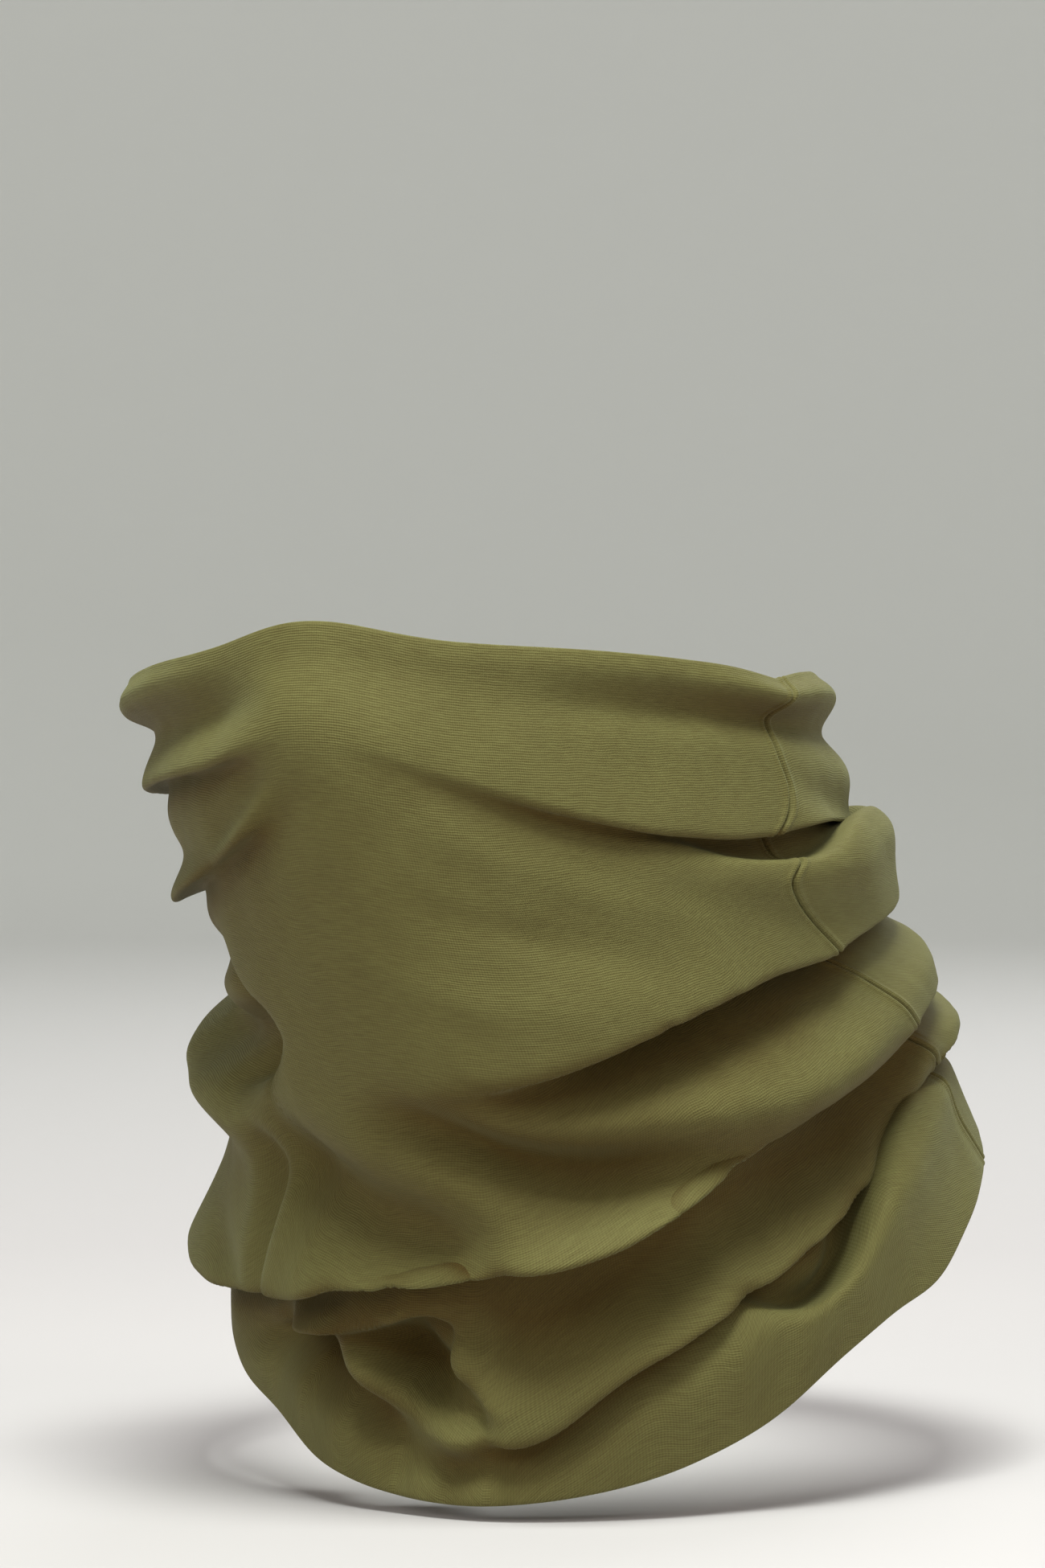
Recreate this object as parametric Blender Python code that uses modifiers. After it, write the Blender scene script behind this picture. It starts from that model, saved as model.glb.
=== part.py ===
"""Neck gaiter: a seamed tube of stretch knit, worn up over the nose.

Metres, +Z up. The wearer faces -Y and the wearer's left is +X. The origin is on the axis of
the neck, level with the lowest point of the bottom edge.

The tube is one knitted panel closed by one overlocked seam on the wearer's left. It is held
here in three rigid lengths, so that the part over the face can be pulled down about the nape:
the neck length stays put, the face length turns, and the middle length gathers between them.
"""

import math

import bmesh
import bpy
import numpy as np

MM = 0.001

# The tube's cross-sections, from the top edge to the bottom edge, evenly spaced in level.
# Each has the turn of its front in degrees towards the wearer's left, then in millimetres its
# height at the front, left, back and right, its centre, its half-widths to the right and the
# left, and its reach to the front and the back. The last number shapes the front: 2 is an
# ellipse, and less is more pointed.
SECTIONS = (
    (2, 175, 168, 159, 162, 0, 0, 79, 73, 82, 83, 1.70),
    (3, 149, 144, 139, 143, 1, 6, 73, 75, 90, 83, 1.70),
    (8, 115, 116, 121, 119, 3, 24, 72, 76, 100, 81, 1.80),
    (12, 78, 92, 105, 97, 6, 40, 76, 75, 105, 81, 1.90),
    (14, 39, 73, 88, 70, 6, 46, 80, 78, 103, 85, 1.85),
    (14, 2, 56, 74, 45, 5, 46, 80, 85, 97, 89, 1.75),
)
NOSE_LIFT = 5 * MM  # the top edge stands this much higher on the bridge of the nose
NOSE_WIDTH = math.radians(14)
NOSE_LEVELS = 0.25  # the lift fades out over this share of the tube

# The three lengths, as levels from 0 at the top edge to 1 at the bottom edge.
FACE_ENDS_AT = 0.28
NECK_STARTS_AT = 0.68
LEVEL_GAP = 0.004  # keeps neighbouring lengths about half a millimetre apart

FABRIC_THICKNESS = 1.0 * MM
CURL_RADIUS = 1.6 * MM  # the raw cut edges roll inwards on themselves
CURL_ANGLE = math.radians(200)
COLUMNS = 60
CURL_ROWS = 6
FACE_ROWS = 7
MIDDLE_ROWS = 9
NECK_ROWS = 8

# The seam's place round the tube, in degrees from the front, at even levels down the tube.
SEAM_ANGLES = (88, 80, 77, 95, 106, 113)
SEAM_END_GAP = 0.012  # levels left free at each end of a seam piece
THREAD_RADIUS = 0.2 * MM
ALLOWANCE_WIDTH = 5.0 * MM
ALLOWANCE_THICKNESS = 1.0 * MM
LAYER_GAP = 0.35 * MM
STITCH_PITCH = 5.0 * MM
LOOP_REACH = 1.7 * MM
POINTS_PER_LOOP = 8

# The nape pivot of the pull-down motion, on the axis across the back of the neck.
NAPE_PIVOT = (0.0, 90 * MM, 150 * MM)

OLIVE = (0.112, 0.098, 0.034, 1.0)
OLIVE_THREAD = (0.075, 0.062, 0.022, 1.0)


def clear_scene():
    for obj in list(bpy.data.objects):
        bpy.data.objects.remove(obj, do_unlink=True)


def new_collection(name):
    collection = bpy.data.collections.new(name)
    bpy.context.scene.collection.children.link(collection)
    return collection


def new_material(name, colour, roughness):
    material = bpy.data.materials.new(name)
    material.use_nodes = True
    shader = material.node_tree.nodes["Principled BSDF"]
    shader.inputs["Base Color"].default_value = colour
    shader.inputs["Roughness"].default_value = roughness
    shader.inputs["Metallic"].default_value = 0.0
    return material


def along(rows, level):
    """A smooth curve through evenly spaced rows of numbers, read at a level from 0 to 1."""
    rows = np.asarray(rows, dtype=float)
    ends_added = np.concatenate([[2 * rows[0] - rows[1]], rows, [2 * rows[-1] - rows[-2]]])
    place = level * (len(rows) - 1)
    index = int(np.clip(math.floor(place), 0, len(rows) - 2))
    t = place - index
    p0, p1, p2, p3 = ends_added[index:index + 4]
    slope_in = (p2 - p0) / 2
    slope_out = (p3 - p1) / 2
    return (
        p1 * (2 * t**3 - 3 * t**2 + 1)
        + slope_in * (t**3 - 2 * t**2 + t)
        + p2 * (3 * t**2 - 2 * t**3)
        + slope_out * (t**3 - t**2)
    )


def tube_point(angle, level):
    """The point of the worn tube at an angle round it (0 at the front) and a level down it."""
    section = along(SECTIONS, level)
    turn, front, left, back, right, cx, cy = section[:7]
    half_right, half_left, reach_front, reach_back, power = section[7:]
    round_by = math.radians(turn)
    local = math.remainder(angle - round_by, 2 * math.pi)
    s = math.sin(local)
    c = math.cos(local)
    half = half_left if s > 0 else half_right
    reach = reach_front if c > 0 else reach_back
    frontness = 0.5 + 0.5 * math.tanh(3 * c)
    p = power * frontness + 2 * (1 - frontness)
    radius = (abs(s / half) ** p + abs(c / reach) ** p) ** (-1 / p)
    height = (
        (front + left + back + right) / 4
        + (front - back) / 2 * c
        + (left - right) / 2 * s
        + (front + back - left - right) / 4 * math.cos(2 * local)
    )
    x = cx + radius * (s * math.cos(round_by) + c * math.sin(round_by))
    y = cy + radius * (s * math.sin(round_by) - c * math.cos(round_by))
    fade = max(0.0, 1 - level / NOSE_LEVELS)
    lift = NOSE_LIFT * fade * math.exp(-((local / NOSE_WIDTH) ** 2))
    return np.array((x * MM, y * MM, height * MM + lift))


def tube_frame(angle, level):
    """The point there, the direction down the tube and the direction straight out of it."""
    step = 0.002
    point = tube_point(angle, level)
    down = tube_point(angle, level + step) - tube_point(angle, level - step)
    down /= np.linalg.norm(down)
    across = tube_point(angle + step, level) - tube_point(angle - step, level)
    out = np.cross(down, across)
    out /= np.linalg.norm(out)
    return point, down, out


def curl_rows(edge_level, tube_side):
    """The rolled edge's rows, from the tip of the curl to the tube, as (level, inward, beyond) in metres."""
    rows = []
    for step in range(CURL_ROWS):
        roll = CURL_ANGLE * (1 - step / CURL_ROWS)
        inward = CURL_RADIUS * (1 - math.cos(roll))
        beyond = tube_side * CURL_RADIUS * math.sin(roll)
        rows.append((edge_level, inward, beyond))
    return rows


def wall_rows(start, end, count):
    return [(level, 0.0, 0.0) for level in np.linspace(start, end, count)]


def add_fabric(name, rows, material, collection):
    """A length of the tube: rings of points joined by faces, thickened by Solidify."""
    mesh_data = bmesh.new()
    rings = []
    for level, inward, beyond in rows:
        ring = []
        for column in range(COLUMNS):
            angle = 2 * math.pi * column / COLUMNS
            point, down, out = tube_frame(angle, level)
            ring.append(mesh_data.verts.new(point - out * inward + down * beyond))
        rings.append(ring)
    for upper, lower in zip(rings, rings[1:]):
        for column in range(COLUMNS):
            after = (column + 1) % COLUMNS
            mesh_data.faces.new((upper[column], lower[column], lower[after], upper[after]))
    bmesh.ops.recalc_face_normals(mesh_data, faces=mesh_data.faces)
    return finish_shell(name, mesh_data, FABRIC_THICKNESS, material, collection)


def finish_shell(name, mesh_data, thickness, material, collection):
    mesh = bpy.data.meshes.new(name)
    mesh_data.to_mesh(mesh)
    mesh_data.free()
    mesh.materials.append(material)
    mesh.shade_smooth()
    obj = bpy.data.objects.new(name, mesh)
    collection.objects.link(obj)
    solidify = obj.modifiers.new("Thickness", "SOLIDIFY")
    solidify.thickness = thickness
    solidify.offset = 0.0
    return obj


def inward_frame(level, sideways, depth):
    """A point inside the tube beside the seam: sideways from it towards the back, and in from the wall."""
    angle = math.radians(along(SEAM_ANGLES, level))
    step = 0.01
    arc = np.linalg.norm(tube_point(angle + step, level) - tube_point(angle - step, level)) / (2 * step)
    point, _, out = tube_frame(angle + sideways / arc, level)
    return point - out * depth


def layer_depths():
    """The depth of each layer's middle inside the wall, from the wall inwards."""
    lower_looper = FABRIC_THICKNESS / 2 + LAYER_GAP + THREAD_RADIUS
    allowance = lower_looper + THREAD_RADIUS + LAYER_GAP + ALLOWANCE_THICKNESS / 2
    upper_looper = allowance + ALLOWANCE_THICKNESS / 2 + LAYER_GAP + THREAD_RADIUS
    return lower_looper, allowance, upper_looper


def add_allowance(name, start, end, depth, material, collection):
    """The two overlocked cut edges, pressed flat towards the back against the inside of the tube."""
    mesh_data = bmesh.new()
    rows = []
    for level in np.linspace(start, end, 12):
        rows.append([
            mesh_data.verts.new(inward_frame(level, side, depth))
            for side in np.linspace(0, ALLOWANCE_WIDTH, 3)
        ])
    for upper, lower in zip(rows, rows[1:]):
        for i in range(len(upper) - 1):
            mesh_data.faces.new((upper[i], lower[i], lower[i + 1], upper[i + 1]))
    return finish_shell(name, mesh_data, ALLOWANCE_THICKNESS, material, collection)


def add_thread(name, points, material, collection):
    curve = bpy.data.curves.new(name, "CURVE")
    curve.dimensions = "3D"
    curve.bevel_depth = THREAD_RADIUS
    curve.bevel_resolution = 1
    curve.use_fill_caps = True
    spline = curve.splines.new("POLY")
    spline.points.add(len(points) - 1)
    for spline_point, point in zip(spline.points, points):
        spline_point.co = (*point, 1.0)
    curve.materials.append(material)
    obj = bpy.data.objects.new(name, curve)
    collection.objects.link(obj)
    return obj


def seam_length(start, end):
    points = [inward_frame(level, 0.0, 0.0) for level in np.linspace(start, end, 20)]
    return sum(np.linalg.norm(b - a) for a, b in zip(points, points[1:]))


def needle_points(start, end, depth):
    """The needle thread runs straight down the seam line, just clear of the allowance's fold."""
    clear_of_fold = -(THREAD_RADIUS + LAYER_GAP)
    return [inward_frame(level, clear_of_fold, depth) for level in np.linspace(start, end, 12)]


def looper_points(start, end, depth):
    """A looper thread waves from side to side along the allowance, one wave to a stitch."""
    loops = max(1, round(seam_length(start, end) / STITCH_PITCH))
    count = loops * POINTS_PER_LOOP
    points = []
    for i in range(count + 1):
        level = start + (end - start) * i / count
        side = ALLOWANCE_WIDTH / 2 + LOOP_REACH * math.cos(2 * math.pi * i / POINTS_PER_LOOP)
        points.append(inward_frame(level, side, depth))
    return points


def add_seam(suffix, start, end, fabric, thread, collection):
    lower_depth, allowance_depth, upper_depth = layer_depths()
    return [
        add_allowance(f"seam_allowance_{suffix}", start, end, allowance_depth, fabric, collection),
        add_thread(
            f"needle_thread_{suffix}", needle_points(start, end, allowance_depth), thread, collection
        ),
        add_thread(
            f"upper_looper_thread_{suffix}", looper_points(start, end, upper_depth), thread, collection
        ),
        add_thread(
            f"lower_looper_thread_{suffix}", looper_points(start, end, lower_depth), thread, collection
        ),
    ]


def add_nape_pivot(collection):
    pivot = bpy.data.objects.new("nape_pivot", None)
    pivot.location = NAPE_PIVOT
    pivot.empty_display_size = 20 * MM
    collection.objects.link(pivot)
    return pivot


def hang_on_pivot(pieces, pivot):
    bpy.context.view_layer.update()
    for piece in pieces:
        piece.parent = pivot
        piece.matrix_parent_inverse = pivot.matrix_world.inverted()


def main():
    clear_scene()
    collection = new_collection("neck_gaiter")
    fabric = new_material("olive_knit", OLIVE, 0.9)
    thread = new_material("olive_thread", OLIVE_THREAD, 0.7)

    face_end = FACE_ENDS_AT - LEVEL_GAP / 2
    middle_start = FACE_ENDS_AT + LEVEL_GAP / 2
    middle_end = NECK_STARTS_AT - LEVEL_GAP / 2
    neck_start = NECK_STARTS_AT + LEVEL_GAP / 2

    face_rows = curl_rows(0.0, -1) + wall_rows(0.0, face_end, FACE_ROWS)
    middle_rows = wall_rows(middle_start, middle_end, MIDDLE_ROWS)
    neck_rows = wall_rows(neck_start, 1.0, NECK_ROWS) + curl_rows(1.0, 1)[::-1]

    face_pieces = [add_fabric("knit_panel_face", face_rows, fabric, collection)]
    add_fabric("knit_panel_middle", middle_rows, fabric, collection)
    add_fabric("knit_panel_neck", neck_rows, fabric, collection)

    face_pieces += add_seam("face", SEAM_END_GAP, face_end - SEAM_END_GAP, fabric, thread, collection)
    add_seam("middle", middle_start + SEAM_END_GAP, middle_end - SEAM_END_GAP, fabric, thread, collection)
    add_seam("neck", neck_start + SEAM_END_GAP, 1.0 - SEAM_END_GAP, fabric, thread, collection)

    hang_on_pivot(face_pieces, add_nape_pivot(collection))


main()
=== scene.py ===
"""The looks of the neck gaiter: one gathered tube of olive stretch knit and its overlocked seam.

Metres, +Z up. The wearer faces -Y and the wearer's left is +X. The tube is laid out as a grid of
angles round it, in degrees from the front towards the wearer's left, and levels down it, from 0
at the top edge to 1 at the bottom edge. Folds are drawn on that layout as paths with a strength
at each point. Each one pushes the cloth out, in and along, so that a lip can hang over the cloth
below it.
"""

import math

import bpy
import numpy as np
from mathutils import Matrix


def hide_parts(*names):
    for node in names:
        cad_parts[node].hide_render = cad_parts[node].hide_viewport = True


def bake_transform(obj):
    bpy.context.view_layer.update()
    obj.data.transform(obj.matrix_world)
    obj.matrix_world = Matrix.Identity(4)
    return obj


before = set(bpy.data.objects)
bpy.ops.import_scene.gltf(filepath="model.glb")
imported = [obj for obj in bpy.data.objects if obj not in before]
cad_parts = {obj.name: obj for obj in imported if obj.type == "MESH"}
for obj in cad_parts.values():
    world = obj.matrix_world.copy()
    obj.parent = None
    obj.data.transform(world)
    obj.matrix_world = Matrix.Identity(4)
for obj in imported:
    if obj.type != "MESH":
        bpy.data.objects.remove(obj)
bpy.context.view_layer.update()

MM = 0.001

# The cut panel laid flat, round the tube and down it.
FLAT_ROUND = 0.48
CLOTH_THICKNESS = 0.7 * MM


# The smooth worn tube.

# Its cross-sections from the top edge to the bottom edge, the same as the frame's: turn of the
# front in degrees, heights at the front, left, back and right, centre, half-widths right and left,
# reach to the front and back, all in millimetres, and the front's power, where 2 is an ellipse and
# less is pointed.
SECTIONS = (
    (2, 175, 168, 159, 162, 0, 0, 79, 73, 82, 83, 1.70),
    (3, 149, 144, 139, 143, 1, 6, 73, 75, 90, 83, 1.70),
    (8, 115, 116, 121, 119, 3, 24, 72, 76, 100, 81, 1.80),
    (12, 78, 92, 105, 97, 6, 40, 76, 75, 105, 81, 1.90),
    (14, 39, 73, 88, 70, 6, 46, 80, 78, 103, 85, 1.85),
    (14, 2, 56, 74, 45, 5, 46, 80, 85, 97, 89, 1.75),
)
FRONT_SHARPNESS = 3  # how quickly the front's power gives way to the back's
BACK_POWER = 2
NOSE_LIFT = 5 * MM
NOSE_WIDTH = math.radians(14)
NOSE_LEVELS = 0.25


def catmull_rom(rows, place):
    """A smooth curve through rows of numbers, read at places counted in rows."""
    rows = np.asarray(rows, dtype=float)
    ends_added = np.concatenate([[2 * rows[0] - rows[1]], rows, [2 * rows[-1] - rows[-2]]])
    place = np.asarray(place, dtype=float)
    index = np.clip(np.floor(place).astype(int), 0, len(rows) - 2)
    t = place - index
    if rows.ndim > 1:
        t = t[..., None]
    before, start, end, after = (ends_added[index + k] for k in range(4))
    slope_in = (end - before) / 2
    slope_out = (after - start) / 2
    return (
        start * (2 * t**3 - 3 * t**2 + 1)
        + slope_in * (t**3 - 2 * t**2 + t)
        + end * (3 * t**2 - 2 * t**3)
        + slope_out * (t**3 - t**2)
    )


def wrapped(degrees):
    return (degrees + 180) % 360 - 180


def unit(vectors):
    return vectors / np.linalg.norm(vectors, axis=-1, keepdims=True)


def tube_points(degrees, level):
    """Points of the smooth worn tube, for arrays of angles in degrees and levels."""
    section = catmull_rom(SECTIONS, level * (len(SECTIONS) - 1))
    turn, front, left, back, right, centre_x, centre_y = np.moveaxis(section[..., :7], -1, 0)
    half_right, half_left, reach_front, reach_back, power = np.moveaxis(section[..., 7:], -1, 0)
    local = np.radians(wrapped(degrees - turn))
    sine = np.sin(local)
    cosine = np.cos(local)
    half = np.where(sine > 0, half_left, half_right)
    reach = np.where(cosine > 0, reach_front, reach_back)
    frontness = 0.5 + 0.5 * np.tanh(FRONT_SHARPNESS * cosine)
    power = power * frontness + BACK_POWER * (1 - frontness)
    radius = (np.abs(sine / half) ** power + np.abs(cosine / reach) ** power) ** (-1 / power)
    height = (
        (front + left + back + right) / 4
        + (front - back) / 2 * cosine
        + (left - right) / 2 * sine
        + (front + back - left - right) / 4 * np.cos(2 * local)
    )
    round_by = np.radians(turn)
    x = centre_x + radius * (sine * np.cos(round_by) + cosine * np.sin(round_by))
    y = centre_y + radius * (sine * np.sin(round_by) - cosine * np.cos(round_by))
    fade = np.clip(1 - level / NOSE_LEVELS, 0, None)
    lift = NOSE_LIFT * fade * np.exp(-((local / NOSE_WIDTH) ** 2))
    return np.stack([x * MM, y * MM, height * MM + lift], axis=-1)


# The grid on the tube.

LAYOUT_RADIUS = 80 * MM  # turns an angle into a distance round the laid-out tube
LEVELS = 420
COLUMNS = 380
SEAM_COLUMNS = 27  # extra columns close to the seam, to hold its groove
SEAM_HALF_WIDTH = 3.0  # degrees
ANGLE_STEP = 0.2  # degrees and levels either side of a point, to find its directions
LEVEL_STEP = 0.002

# The seam's angle at levels down the tube. The cloth shears to follow it, over so many degrees.
SEAM_PATH = (
    (0.0, 89), (0.03, 87), (0.065, 83), (0.10, 81), (0.14, 80.5), (0.18, 81), (0.215, 78.5), (0.24, 73.5),
    (0.255, 72), (0.275, 73), (0.295, 72.5), (0.312, 76), (0.33, 69), (0.345, 68), (0.37, 73.5), (0.40, 77),
    (0.44, 79), (0.48, 83.5), (0.53, 88.5), (0.58, 93.5), (0.64, 99), (0.70, 103), (0.85, 107), (1.0, 113),
)
SEAM_START = SEAM_PATH[0][1]
SEAM_SMOOTHING = 9  # grid rows
SHEAR_WIDTH = 42.0


def column_angles():
    """Even columns round the tube, with extra ones beside the seam."""
    even = SEAM_START + np.linspace(0, 360, COLUMNS, endpoint=False)
    near = SEAM_START + np.linspace(-SEAM_HALF_WIDTH, SEAM_HALF_WIDTH, SEAM_COLUMNS)
    far_enough = np.abs(wrapped(even - SEAM_START)) > SEAM_HALF_WIDTH
    return np.sort(np.concatenate([even[far_enough] % 360, near % 360]))


def seam_angles(levels):
    """The seam's angle at each level, with the path's corners rounded."""
    placed, angles = np.transpose(SEAM_PATH)
    exact = np.interp(levels, placed, angles)
    padded = np.pad(exact, SEAM_SMOOTHING, mode="edge")
    window = np.hanning(2 * SEAM_SMOOTHING + 3)[1:-1]
    return np.convolve(padded, window / window.sum(), mode="valid")


class Layout:
    """The smooth tube as a grid of points, with its directions and its laid-out coordinates."""

    def __init__(self):
        self.columns = column_angles()
        self.from_seam = wrapped(self.columns - SEAM_START)
        self.levels = np.linspace(0, 1, LEVELS)
        level = np.repeat(self.levels[:, None], len(self.columns), axis=1)
        shift = seam_angles(self.levels) - SEAM_START
        near_seam = np.exp(-((self.from_seam / SHEAR_WIDTH) ** 2))
        self.degrees = self.columns[None, :] + shift[:, None] * near_seam[None, :]
        self.points = tube_points(self.degrees, level)
        ahead = tube_points(self.degrees + ANGLE_STEP, level)
        self.across = unit(ahead - tube_points(self.degrees - ANGLE_STEP, level))
        lower = tube_points(self.degrees, level + LEVEL_STEP)
        down = unit(lower - tube_points(self.degrees, level - LEVEL_STEP))
        self.out = unit(np.cross(down, self.across))
        self.down = np.cross(self.across, self.out)
        steps = np.linalg.norm(np.diff(self.points, axis=0), axis=-1)
        self.depth = np.concatenate([np.zeros((1, len(self.columns))), np.cumsum(steps, axis=0)])

    def flat_path(self, path):
        """Path points as laid-out distances round and down, each with its strength."""
        placed = []
        for degrees, level, strength in path:
            row = np.interp(level, self.levels, np.arange(LEVELS))
            below = int(min(math.floor(row), LEVELS - 2))
            share = row - below
            around = self.degrees[below] % 360
            order = np.argsort(around)
            depths = self.depth[below] * (1 - share) + self.depth[below + 1] * share
            depth = np.interp(degrees % 360, around[order], depths[order], period=360)
            placed.append((math.radians(degrees) * LAYOUT_RADIUS, depth, strength))
        return placed


# The folds.

# Lips: (path of (degrees, level, strength), width, reach, out, dip, push). The reach is in widths
# and the other sizes in millimetres. Where the path's degrees rise, the lip hangs down, and where
# they fall, it stands up.
LIPS = {
    "cheek_band": (
        [(4, 0.158, 0), (14, 0.182, 0.15), (24, 0.211, 0.35), (36, 0.24, 0.65), (53, 0.259, 0.9),
         (69, 0.258, 1), (95, 0.225, 1), (125, 0.215, 0.9), (155, 0.21, 0.5), (185, 0.20, 0)],
        3.8, 2.6, 2.8, 2.6, 3.6,
    ),
    "cheek_roll": (
        [(195, 0.27, 0), (160, 0.255, 0.8), (130, 0.25, 1.2), (110, 0.25, 1.3), (98, 0.262, 1.2),
         (88, 0.285, 1.1), (78, 0.305, 1), (68, 0.308, 0.9), (60, 0.303, 0.7), (52, 0.288, 0.35),
         (42, 0.275, 0)],
        3.2, 3.0, 4.0, 1.2, 2.8,
    ),
    "jaw": (
        [(4, 0.58, 0), (16, 0.562, 0.35), (26, 0.532, 0.7), (36, 0.49, 1), (48, 0.452, 1.1),
         (60, 0.428, 1), (74, 0.415, 0.85), (87, 0.395, 0.7), (106, 0.375, 0.6), (130, 0.365, 0.4),
         (160, 0.365, 0)],
        6.0, 2.2, 3.5, 10.0, 6.5,
    ),
    "under_chin": (
        [(-95, 0.96, 0.5), (-75, 0.942, 0.9), (-60, 0.922, 1), (-45, 0.889, 1), (-30, 0.842, 1),
         (-12, 0.794, 1), (4, 0.76, 1), (18, 0.737, 1), (28, 0.715, 1), (42, 0.66, 1), (56, 0.615, 1.1),
         (76, 0.575, 1), (88, 0.548, 0.8), (104, 0.53, 0.7), (125, 0.525, 0.5), (155, 0.53, 0)],
        6.5, 1.7, 6.0, 5.5, 7.5,
    ),
    "collar_fold": (
        [(-62, 0.985, 0), (-45, 0.965, 0.15), (-35, 0.932, 0.35), (-26, 0.897, 0.7), (-18, 0.873, 1),
         (-12, 0.861, 1), (-6, 0.848, 1), (-2, 0.836, 1), (2, 0.823, 1), (5, 0.819, 1), (7.4, 0.828, 1),
         (8.2, 0.842, 1), (7.8, 0.856, 1), (7.4, 0.868, 1), (8.8, 0.878, 1), (11, 0.889, 1),
         (13, 0.902, 1), (13.6, 0.919, 1), (13, 0.934, 0.9), (16, 0.94, 0.9), (21, 0.925, 1),
         (29, 0.882, 1), (38, 0.852, 1), (46, 0.827, 1), (55, 0.80, 1), (64, 0.78, 1), (71, 0.764, 1),
         (80, 0.745, 1), (88, 0.71, 0.9), (98, 0.675, 0.8), (115, 0.665, 0.6), (145, 0.69, 0)],
        3.4, 2.2, 2.0, 6.0, 3.8,
    ),
    "collar_turn": (
        [(112, 0.64, 0), (97, 0.69, 0.6), (87, 0.735, 1), (78, 0.78, 1.2), (72, 0.82, 1.2),
         (68, 0.858, 1.1), (64, 0.89, 1), (58, 0.90, 0.9), (52, 0.878, 0.7), (46, 0.85, 0.4),
         (41, 0.835, 0)],
        3.0, 4.5, 3.8, 8.0, 3.4,
    ),
    "nose_side": (
        [(-120, 0.205, 0), (-85, 0.20, 0.8), (-55, 0.20, 1), (-30, 0.19, 1), (-18, 0.184, 0.8),
         (-8, 0.168, 0.4), (-2, 0.155, 0)],
        3.2, 1.8, 3.4, 3.0, 2.6,
    ),
    "mouth_side": (
        [(-120, 0.365, 0), (-85, 0.37, 0.9), (-60, 0.368, 1.2), (-46, 0.358, 1.2), (-28, 0.33, 1),
         (-17, 0.30, 0.9), (-9, 0.265, 0.8), (-5, 0.235, 0.5), (-3, 0.20, 0)],
        3.8, 1.5, 4.6, 2.4, 2.6,
    ),
    "side_front": (
        [(-34, 0.42, 0), (-24, 0.46, 0.8), (-16, 0.50, 1), (-13.5, 0.53, 1), (-16, 0.565, 1),
         (-24, 0.60, 0.8), (-36, 0.64, 0)],
        4.0, 3.0, 1.2, 6.0, 2.2,
    ),
}

# The cloth that the front shows stretched lies bunched at the nape, in folds one above another.
NAPE_LEVELS = (0.17, 0.32, 0.47, 0.62, 0.77, 0.90)
NAPE_SPAN = (128, 258)
NAPE_FOLD = (5.0, 2.2, 4.0, 3.5, 6.0)  # the sizes of a lip
NAPE_POINTS = 7
NAPE_TURN = 9  # degrees that a fold may lie to one side
NAPE_WANDER = 0.018  # levels

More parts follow.
